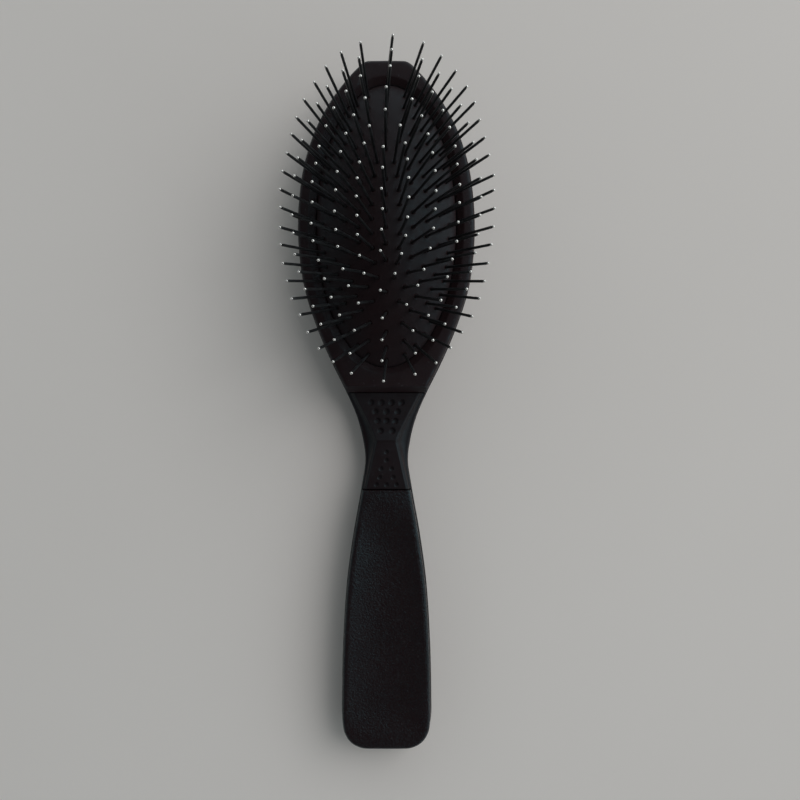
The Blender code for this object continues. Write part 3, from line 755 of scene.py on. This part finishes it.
def screw_places():
    turns = [math.radians(degrees) for degrees in SCREW_ANGLES_DEG]
    return [ellipse_ring(SCREW_OUT, 0.0, np.array([turn]))[0][:2] for turn in turns]


def handle_outline(top_y, samples):
    """The half outline below top_y, with evenly spaced points along its straight cut edge."""
    side = between(top_y, BUTT_Y)
    body = resample(np.vstack([side, [[0.0, BUTT_Y]]]), samples)
    edge = [[body[0, 0] * k / HANDLE_EDGE_POINTS, top_y] for k in range(HANDLE_EDGE_POINTS)]
    return np.vstack([edge, body])


def make_shell():
    """The back shell: a rounded back, a small radius at the parting line, and pockets in head and handle."""
    side = resample(OUTLINE, SHELL_SAMPLES)
    profile = smooth_rows(
        (
            (4.4 * MM, 0.0),
            (2.6 * MM, 0.4 * MM),
            (1.1 * MM, 1.6 * MM),
            (0.3 * MM, 3.4 * MM),
            (0.0, 5.4 * MM),
            (0.0, 6.8 * MM),
        ),
        5,
    )
    rows = [(4.9 * MM, arched(0.0))]
    rows += [(inset, arched(z)) for inset, z in profile]
    rows += [
        (0.01 * MM, 6.95 * MM),
        (0.05 * MM, 7.06 * MM),
        (0.12 * MM, 7.15 * MM),
        (0.22 * MM, SHELL_TOP_Z),
        (0.5 * MM, SHELL_TOP_Z),
    ]
    shell = slab("shell_detail", side, rows, [SHELL], low_strips=BACK_STRIPS_Y)
    above = SHELL_TOP_Z + MM
    head_pocket = oval_block("head_pocket", POCKET_OUT, POCKET_FLOOR_Z, above, SHELL)
    pocket_side = handle_outline(HANDLE_POCKET_TOP_Y, HANDLE_POCKET_SAMPLES)
    pocket_rows = ((HANDLE_POCKET_INSET, POCKET_FLOOR_Z), (HANDLE_POCKET_INSET, above))
    handle_pocket = slab("handle_pocket", pocket_side, pocket_rows, [SHELL])
    carve(shell, [head_pocket, handle_pocket])
    return shell


def cut_inset(side, normals, corner, depth, end_depth):
    """Insets a side whose points from the corner on are a straight cut end, which has a depth of its own.

    The flank's last stretch is carried on past the cut, so that there is always a corner to find.
    """
    toward = 1.0 if side[corner, 1] > side[0, 1] else -1.0
    end_y = side[corner, 1] - toward * end_depth
    flank = side[:corner] - normals[:corner] * depth
    flank[0, 0] = 0.0
    flank = unfold(flank)
    tail = flank[-60:]
    onward = tail[-1] + (tail[-1] - tail[-2]) * 20
    line = np.vstack([tail, onward])
    corner_x = float(np.interp(toward * end_y, toward * line[:, 1], line[:, 0]))
    flank[toward * flank[:, 1] > toward * end_y] = (corner_x, end_y)
    end_x = corner_x * side[corner:, 0] / side[corner, 0]
    return np.vstack([flank, np.stack([end_x, np.full(len(end_x), end_y)], axis=1)])


def frame_outline():
    """The frame's half outline, each point's turn round the oval opening, and the index of its corner.

    Outline and opening share their turns, so that the rows of points between them run straight across.
    """
    side = between(HEAD_TOP_Y, FRAME_END_Y)
    corner = side[-1]
    across = np.linspace(corner[0], 0.0, FRAME_EDGE_POINTS)
    edge = np.stack([across, np.full(FRAME_EDGE_POINTS, FRAME_END_Y)], axis=1)
    closed_half = np.vstack([[[0.0, HEAD_TOP_Y]], side, edge[1:]])
    turn = np.arctan2(closed_half[:, 0] / PAD_A, (closed_half[:, 1] - PAD_CENTRE_Y) / PAD_B)
    keep = np.concatenate([[True], np.diff(turn) > 1e-9])
    places = [oval_place(PAD_A, PAD_B, 2 * (FRAME_SAMPLES - 1), k) for k in range(FRAME_SAMPLES)]
    angles = np.array([math.atan2(x / PAD_A, y / PAD_B) for x, y in places])
    angles[0] = 0.0
    angles[-1] = math.pi
    corner_turn = math.atan2(corner[0] / PAD_A, (corner[1] - PAD_CENTRE_Y) / PAD_B)
    corner_at = int(np.abs(angles - corner_turn).argmin())
    angles[corner_at] = corner_turn
    columns = [np.interp(angles, turn[keep], closed_half[keep][:, k]) for k in (0, 1)]
    return np.stack(columns, axis=1), angles, corner_at


def make_frame():
    """The head's frame: outer wall, rounded rim, sloped lip round the cushion, and the steps under it."""
    outer, angles, corner_at = frame_outline()
    normals = outward_normals(outer)
    outer_rows = [
        (0.3 * MM, FRONT_BOTTOM_Z),
        (0.12 * MM, 7.56 * MM),
        (0.03 * MM, 7.7 * MM),
        (0.0, 7.95 * MM),
    ]
    outer_rows += smooth_rows(
        (
            (0.0, 10.4 * MM),
            (0.04 * MM, 11.8 * MM),
            (0.22 * MM, 12.9 * MM),
            (0.62 * MM, 13.6 * MM),
            (1.1 * MM, 13.92 * MM),
            (1.6 * MM, RIM_Z),
        ),
        4,
    )
    outer_rows.append((1.9 * MM, RIM_Z))
    oval_rows = (
        (2.85 * MM, RIM_Z),
        (2.6 * MM, 13.96 * MM),
        (2.4 * MM, 13.87 * MM),
        (2.2 * MM, 13.74 * MM),
        (0.6 * MM, 12.68 * MM),
        (0.42 * MM, 12.56 * MM),
        (GAP, 12.42 * MM),
        (GAP, LIP_Z),
        (FLANGE_OUT + GAP, LIP_Z),
        (FLANGE_OUT + GAP, STEP_Z),
        (PLATE_OUT + GAP, STEP_Z),
        (PLATE_OUT + GAP, FRONT_BOTTOM_Z),
    )
    loops = []
    for inset, z in outer_rows:
        rise = max(0.0, (z - LIP_Z) / (RIM_Z - LIP_Z))
        end_depth = FRONT_INSET + END_ROUNDING * inset + FRAME_END_SLOPE * rise
        ring = cut_inset(outer, normals, corner_at, FRONT_INSET + inset, end_depth)
        loops.append(full_loop(ring, [z] * FRAME_SAMPLES))
    round_angles = np.concatenate([angles, 2 * math.pi - angles[-2:0:-1]])
    loops += [ellipse_ring(grow, z, round_angles) for grow, z in oval_rows]
    count = len(loops[0])
    points = [p for loop in loops for p in loop]
    faces = []
    for k in range(len(loops)):
        bridge(faces, k * count, ((k + 1) % len(loops)) * count, count)
    frame_piece = make_object("frame_detail", points, faces, [FRAME])
    drills = []
    for k, place in enumerate(screw_places()):
        drills.append(rod(f"drill_{k}", place, SCREW_HOLE_R, STEP_Z - MM, SCREW_HOLE_TOP_Z, 16, FRAME))
    carve(frame_piece, drills)
    return frame_piece


def make_cover():
    """The handle's cover, with a rounded edge and a shallow hollow along its face."""
    side = handle_outline(HANDLE_TOP_Y, HANDLE_SAMPLES)
    rows = [
        (2.4 * MM, HANDLE_FACE_Z - 3.2 * MM),
        (2.4 * MM, FRONT_BOTTOM_Z),
        (0.3 * MM, FRONT_BOTTOM_Z),
        (0.12 * MM, 7.56 * MM),
        (0.03 * MM, 7.7 * MM),
        (0.0, 7.95 * MM),
    ]
    rows += smooth_rows(
        (
            (0.0, 10.8 * MM),
            (0.04 * MM, 11.7 * MM),
            (0.2 * MM, 12.3 * MM),
            (0.55 * MM, 12.75 * MM),
            (1.0 * MM, 12.95 * MM),
            (1.6 * MM, HANDLE_FACE_Z),
        ),
        4,
    )
    rows.append((1.8 * MM, HANDLE_FACE_Z))
    up = side[::-1]
    normals = outward_normals(side)[::-1]
    corner_at = len(side) - 1 - HANDLE_EDGE_POINTS
    loops = []
    for inset, z in rows:
        end_depth = FRONT_INSET + END_ROUNDING * inset
        ring = cut_inset(up, normals, corner_at, FRONT_INSET + inset, end_depth)[::-1]
        loops.append((ring, z))
    return stacked("handle_detail", loops, [COVER], top_strips=FACE_STRIPS_Y, top_drop=hollow_depth)


# ---------------------------------------------------------------- the neck grip
def grip_section(y):
    """Right half of the grip's section at y: its side from the bottom up, then its top in to the middle."""
    side_x = float(half_width(y)) - 0.1 * MM
    places = [-v * MM for v, _, _ in GRIP_PANEL_MM]
    panel_x = float(np.interp(-y, places, [half * MM for _, half, _ in GRIP_PANEL_MM]))
    panel_z = float(np.interp(-y, places, [height * MM for _, _, height in GRIP_PANEL_MM]))
    foot_x = min(panel_x + GRIP_STEP, side_x - 0.6 * MM)
    wall = [
        (side_x - 0.3 * MM, FRONT_BOTTOM_Z),
        (side_x - 0.1 * MM, FRONT_BOTTOM_Z + 0.1 * MM),
        (side_x, FRONT_BOTTOM_Z + 0.35 * MM),
        (side_x, 8.3 * MM),
        (side_x - 0.12 * MM, 8.75 * MM),
        (side_x - 0.38 * MM, GRIP_EDGE_Z + 0.1 * MM),
    ]
    low_x = side_x - 0.55 * MM
    low_z = GRIP_EDGE_Z + 0.22 * MM
    high_x = foot_x + 0.12 * MM
    high_z = panel_z - GRIP_STEP - 0.04 * MM
    flank = []
    for k in range(GRIP_FLANK_STEPS + 1):
        share = k / GRIP_FLANK_STEPS
        flank.append((low_x + (high_x - low_x) * share, low_z + (high_z - low_z) * share**GRIP_FLANK_BEND))
    step = [
        (foot_x, panel_z - GRIP_STEP),
        (panel_x + 0.5 * MM, panel_z - 0.42 * MM),
        (panel_x + 0.3 * MM, panel_z - 0.2 * MM),
        (panel_x + 0.14 * MM, panel_z - 0.07 * MM),
    ]
    top = [(panel_x * (1 - k / GRIP_COLUMNS), panel_z) for k in range(GRIP_COLUMNS + 1)]
    return wall + flank + step, top


def dimple_drop(x, y):
    """How far the grip's panel is sunk at a place by the deepest dimple there."""
    drop = 0.0
    for row_y, across, radius in DIMPLES_MM:
        dy = y - row_y * MM
        r = radius * MM
        if abs(dy) >= r:
            continue
        for place in across:
            share = ((x - place * MM) ** 2 + dy**2) / r**2
            if share < 1:
                wall = min(1.0, DIMPLE_WALL * (1 - share))
                drop = max(drop, DIMPLE_DEPTH * radius * wall * (1 - DIMPLE_BOWL * share))
    return drop


def end_drop(near):
    """How far the grip's top is rounded down at a distance from its nearer end."""
    if near >= GRIP_END_ROUND:
        return 0.0
    return GRIP_END_ROUND - math.sqrt(max(0.0, GRIP_END_ROUND**2 - (GRIP_END_ROUND - near) ** 2))


def make_grip():
    """The neck grip: cross-sections from the head down to the handle, joined into one closed body."""
    stations = np.linspace(GRIP_TOP_Y, GRIP_BOTTOM_Y, GRIP_STATIONS)
    points = []
    for y in stations:
        outer, top = grip_section(y)
        rim = end_drop(min(GRIP_TOP_Y - y, y - GRIP_BOTTOM_Y))
        right = outer + [(x, z - dimple_drop(x, y)) for x, z in top]
        left = [(-x, z - dimple_drop(-x, y)) for x, z in top[-2::-1]] + [(-x, z) for x, z in outer[::-1]]
        section = right + left
        points += [(x, y, max(FRONT_BOTTOM_Z, z - rim) if z > GRIP_ROUND_FROM_Z else z) for x, z in section]
    count = len(section)
    last = count * (GRIP_STATIONS - 1)
    faces = [tuple(range(count)), tuple(range(last, last + count))]
    for k in range(GRIP_STATIONS - 1):
        bridge(faces, k * count, (k + 1) * count, count)
    return make_object("grip_detail", points, faces, [GRIP], smooth_angle=34, flat_faces=(0, 1))


# ---------------------------------------------------------------- cushion and pins
def pin_mark(mark, count):
    """A ring's mark moved a little toward the middle of its flank; the marks at the two ends stay."""
    half = count / 2
    close = (half / 2 - 1) * (1 - PIN_CLOSE)
    marks = []
    moved = []
    for end in (0, half, count):
        marks += [end - 1, end, end + 1]
        moved += [end - 1 - close, end, end + 1 + close]
    return float(np.interp(mark, marks, moved))


def ring_places(k, marks):
    """Places on ring k's oval, from the pad's centre, at the given marks."""
    a = RING_A_MM[k] * MM
    b = RING_B_MM[k] * MM
    count = RING_COUNTS[k]
    return [oval_place(a, b, count, pin_mark(mark, count)) for mark in marks]


def column_places(marks):
    """Places on the middle column, from the pad's centre, at the given marks."""
    return [(0.0, COLUMN_Y + COLUMN_PITCH * ((COLUMN_PINS - 1) / 2 - mark)) for mark in marks]


def runner_marks(start, end):
    """Marks along the strip that carries the pins from start up to, but not including, end."""
    return np.linspace(start - RUNNER_BEFORE, end - RUNNER_SHORT, RUNNER_STEPS * (end - start))


def socket_relief(off):
    """Height that a pin's lip and socket add to the cushion; off is the distance from the pin, in mm."""
    lip = LIP_HEIGHT_MM * np.exp(-(((off - LIP_R_MM) / LIP_WIDTH_MM) ** 2))
    socket = SOCKET_DEPTH_MM * np.exp(-((off / SOCKET_R_MM) ** 4))
    return MM * (lip - socket)


def make_cushion():
    """The cushion: a dome with a lip and a socket at each pin, a flange under the frame, and its underside."""
    around = PAD_AROUND
    turn = np.linspace(0, 2 * math.pi, around, endpoint=False)
    share = np.linspace(0, 1, PAD_STEPS + 1)[1:]
    x = PAD_A * share[:, None] * np.sin(turn)[None, :]
    y = PAD_B * share[:, None] * np.cos(turn)[None, :]
    z = dome_z(x, y)
    places = column_places(range(COLUMN_PINS))
    for k, count in enumerate(RING_COUNTS):
        places += ring_places(k, range(count))
    for px, py in places:
        off = np.hypot(x - px, y - py) / MM
        near = off < LIP_REACH_MM
        z[near] += socket_relief(off[near])
    edge_dip = np.array([[0.02], [0.05]]) * MM
    z[-2:] -= edge_dip
    points = [(0.0, PAD_CENTRE_Y, float(dome_z(0.0, 0.0)))]
    points += list(zip(x.ravel(), (y + PAD_CENTRE_Y).ravel(), z.ravel()))
    faces = [(0, 1 + (i + 1) % around, 1 + i) for i in range(around)]
    for k in range(PAD_STEPS - 1):
        bridge(faces, 1 + k * around, 1 + (k + 1) * around, around)
    rim = (
        (0.0, PAD_EDGE_Z - 0.3 * MM),
        (0.0, FLANGE_TOP_Z),
        (FLANGE_OUT, FLANGE_TOP_Z),
        (FLANGE_OUT, FLANGE_TOP_Z - FLANGE_THICK),
        (-1.6 * MM, FLANGE_TOP_Z - FLANGE_THICK),
        (-1.3 * MM, FLANGE_TOP_Z + 0.3 * MM),
    )
    previous = 1 + (PAD_STEPS - 1) * around
    for grow, height in rim:
        first = len(points)
        points += ellipse_ring(grow, height, turn)
        bridge(faces, previous, first, around)
        previous = first
    for part in np.linspace(0.93, 0.05, PAD_UNDER_STEPS):
        first = len(points)
        px = PAD_A * part * np.sin(turn)
        py = PAD_B * part * np.cos(turn)
        points += list(zip(px, py + PAD_CENTRE_Y, dome_z(px, py) - PAD_THICK))
        bridge(faces, previous, first, around)
        previous = first
    points.append((0.0, PAD_CENTRE_Y, float(dome_z(0.0, 0.0)) - PAD_THICK))
    faces += [(previous + i, previous + (i + 1) % around, len(points) - 1) for i in range(around)]
    return make_object("cushion_detail", points, faces, [PAD])


def dome_normal(x, y):
    """The way that is square to the cushion's dome."""
    return Vector((2 * PAD_CROWN * x / PAD_A**2, 2 * PAD_CROWN * y / PAD_B**2, 1.0)).normalized()


def tilted(up, draw):
    """A pin's direction with a small random tilt."""
    turn = draw.uniform(0, 2 * math.pi)
    amount = math.radians(abs(draw.gauss(0.0, PIN_TILT_DEG)))
    side = up.orthogonal().normalized()
    other = up.cross(side)
    return (up + (side * math.cos(turn) + other * math.sin(turn)) * math.tan(amount)).normalized()


def add_pin(points, faces, looks, place, lean_x, draw):
    """Adds one pin to a run: an enamelled shaft from under the cushion up, and a steel ball at its end."""
    x, y = place
    up = tilted(pin_direction(x, y, lean_x), draw)
    side = up.orthogonal().normalized()
    other = up.cross(side)
    under = PAD_THICK + GAP
    base = Vector((x, y + PAD_CENTRE_Y, dome_z(x, y))) - up * under
    reach = PIN_LENGTH + under + draw.uniform(-PIN_LENGTH_SPREAD_MM, PIN_LENGTH_SPREAD_MM) * MM
    rows = [(0.0, SHAFT_ROOT_R), (reach - SHAFT_END, SHAFT_END_R), (reach - SHAFT_NECK, SHAFT_NECK_R)]
    shaft_rows = len(rows)
    centre = reach - BALL_R
    for k in range(BALL_ROWS):
        angle = BALL_START + (math.pi / 2 - BALL_START) * k / BALL_ROWS
        rows.append((centre + BALL_R * math.sin(angle), BALL_R * math.cos(angle)))
    first = len(points)
    for height, radius in rows:
        for k in range(PIN_SIDES):
            a = 2 * math.pi * k / PIN_SIDES
            points.append(base + up * height + (side * math.cos(a) + other * math.sin(a)) * radius)
    points.append(base + up * reach)
    faces.append(tuple(range(first, first + PIN_SIDES)))
    looks.append(ENAMEL_SLOT)
    for k in range(len(rows) - 1):
        bridge(faces, first + k * PIN_SIDES, first + (k + 1) * PIN_SIDES, PIN_SIDES)
        looks.extend([TIP_SLOT if k >= shaft_rows else ENAMEL_SLOT] * PIN_SIDES)
    last = first + (len(rows) - 1) * PIN_SIDES
    for k in range(PIN_SIDES):
        faces.append((last + k, last + (k + 1) % PIN_SIDES, len(points) - 1))
        looks.append(TIP_SLOT)


def add_runner(points, faces, looks, places):
    """The strip under the cushion that carries a run of pins."""
    first = len(points)
    for i, (x, y) in enumerate(places):
        ahead = places[min(i + 1, len(places) - 1)]
        behind = places[max(i - 1, 0)]
        up = dome_normal(x, y)
        along = Vector((ahead[0] - behind[0], ahead[1] - behind[1], 0.0))
        along = (along - up * along.dot(up)).normalized()
        across = along.cross(up).normalized() * RUNNER_HALF
        at = Vector((x, y + PAD_CENTRE_Y, dome_z(x, y)))
        top = at - up * (PAD_THICK + GAP)
        low = top - up * RUNNER_THICK
        points.extend((top + across, top - across, low - across, low + across))
    before = len(faces)
    faces.append((first, first + 1, first + 2, first + 3))
    for k in range(len(places) - 1):
        bridge(faces, first + 4 * k, first + 4 * k + 4, 4)
    last = first + 4 * (len(places) - 1)
    faces.append((last, last + 1, last + 2, last + 3))
    looks.extend([ENAMEL_SLOT] * (len(faces) - before))


def make_pins(node, body, pins, run, lean_x, draw):
    """One piece: the pins at the given places and the strip along the run that carries them."""
    points = []
    faces = []
    looks = []
    add_runner(points, faces, looks, run)
    for place in pins:
        add_pin(points, faces, looks, place, lean_x, draw)
    piece = make_object(node + "_detail", points, faces, [ENAMEL, TIP], face_looks=looks, smooth_angle=50)
    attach(piece, body)
    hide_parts(node)
    return piece


def make_all_pins():
    """The middle column, and each ring in four runs."""
    draw = random.Random(PIN_SEED)
    run = column_places(runner_marks(0, COLUMN_PINS))
    make_pins("pins_column", "column_pins", column_places(range(COLUMN_PINS)), run, COLUMN_LEAN_X, draw)
    for k, count in enumerate(RING_COUNTS):
        half = count // 2
        early = half // 2
        starts = (0, early, half, half + early, count)
        for part, start, end in zip(RING_PARTS, starts, starts[1:]):
            node = f"pins_ring_{k + 1}_{part}"
            pins = ring_places(k, range(start, end))
            run = ring_places(k, runner_marks(start, end))
            make_pins(node, f"ring_{k + 1}_pins", pins, run, RING_LEAN_X[k], draw)


# ---------------------------------------------------------------- the scene
FLOOR_SIZE = 1.6
FLOOR_TILES = 24
CAMERA_LENS = 32.25
CAMERA_PLACE = (0.00464, 0.0018, 0.256)
KEY_PLACE = (1.0, 0.62, 1.2)
KEY_SIZE = 1.3
KEY_POWER = 10.0
SKY_COLOUR = (0.9, 1.0, 1.02)
SKY_SIDE = 0.25


def make_key_light():
    """The soft light from the upper right, aimed at the brush."""
    lamp = bpy.data.lights.new("key", "AREA")
    lamp.shape = "RECTANGLE"
    lamp.size = KEY_SIZE
    lamp.size_y = KEY_SIZE
    lamp.energy = KEY_POWER
    key = bpy.data.objects.new("key", lamp)
    key.location = KEY_PLACE
    key.rotation_euler = (-Vector(KEY_PLACE)).to_track_quat("-Z", "Y").to_euler()
    bpy.context.scene.collection.objects.link(key)


def make_floor():
    across = FLOOR_TILES + 1
    points = []
    for i in range(across):
        for k in range(across):
            points.append((FLOOR_SIZE * (k / FLOOR_TILES - 0.5), FLOOR_SIZE * (i / FLOOR_TILES - 0.5), 0.0))
    faces = []
    for i in range(FLOOR_TILES):
        for k in range(FLOOR_TILES):
            a = i * across + k
            faces.append((a, a + 1, a + across + 1, a + across))
    floor = make_object("floor", points, faces, [floor_material("floor_paper")])


def make_camera():
    """The camera at the photo's viewing angle: above the brush, looking straight down."""
    camera = bpy.data.cameras.new("camera")
    camera.lens = CAMERA_LENS
    camera.sensor_width = 36.0
    camera.clip_start = 0.01
    eye = bpy.data.objects.new("camera", camera)
    eye.location = CAMERA_PLACE
    bpy.context.scene.collection.objects.link(eye)
    bpy.context.scene.camera = eye


def make_sky():
    """Studio light from all round: darker overhead, and brighter toward +X and +Y than away from them."""
    world = bpy.data.worlds.new("studio")
    bpy.context.scene.world = world
    world.use_nodes = True
    tree = world.node_tree
    background = tree.nodes["Background"]
    way = tree.nodes.new("ShaderNodeTexCoord").outputs["Generated"]
    split = tree.nodes.new("ShaderNodeSeparateXYZ")
    tree.links.new(way, split.inputs["Vector"])
    height = ramp(tree, split.outputs["Z"], 0.25, 0.8, 1.36, 0.12)
    toward_x = maths(tree, "MULTIPLY", split.outputs["X"], SKY_SIDE)
    toward_y = maths(tree, "MULTIPLY", split.outputs["Y"], SKY_SIDE)
    side = ramp(tree, maths(tree, "ADD", toward_x, toward_y), -0.35, 0.7, 0.25, 1.5)
    tree.links.new(maths(tree, "MULTIPLY", height, side), background.inputs["Strength"])
    background.inputs["Color"].default_value = (*SKY_COLOUR, 1.0)


def make_stage():
    make_floor()
    make_camera()
    make_key_light()
    make_sky()
    bpy.context.scene.view_settings.view_transform = "Standard"


def dress(piece, body, slot, *nodes):
    """Puts a piece on its body in place of its CAD nodes; the slot argument, a name for its material, is not
    used.
    """
    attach(piece, body)
    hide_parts(*nodes)
    return piece


def repaint(node, look):
    """Gives a CAD node that stays in view a material from here."""
    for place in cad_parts[node].material_slots:
        place.material = look


OUTLINE = curve_through([(x * MM, y * MM) for x, y in SIDE_POINTS_MM])
make_stage()
dress(make_shell(), "body", "shell_plastic", "back_shell")
dress(make_frame(), "body", "frame_plastic", "head_frame")
dress(make_cover(), "body", "handle_plastic", "handle_cover")
dress(make_grip(), "body", "grip_rubber", "neck_grip")
cushion = dress(make_cushion(), "body", "pad_rubber", "cushion_pad")
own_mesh(cushion)
make_all_pins()
repaint("cushion_clamp_ring", INNER)
repaint("chamber_plate", INNER)
for k in range(len(SCREW_ANGLES_DEG)):
    repaint(f"plate_screw_{k + 1}", SCREW)
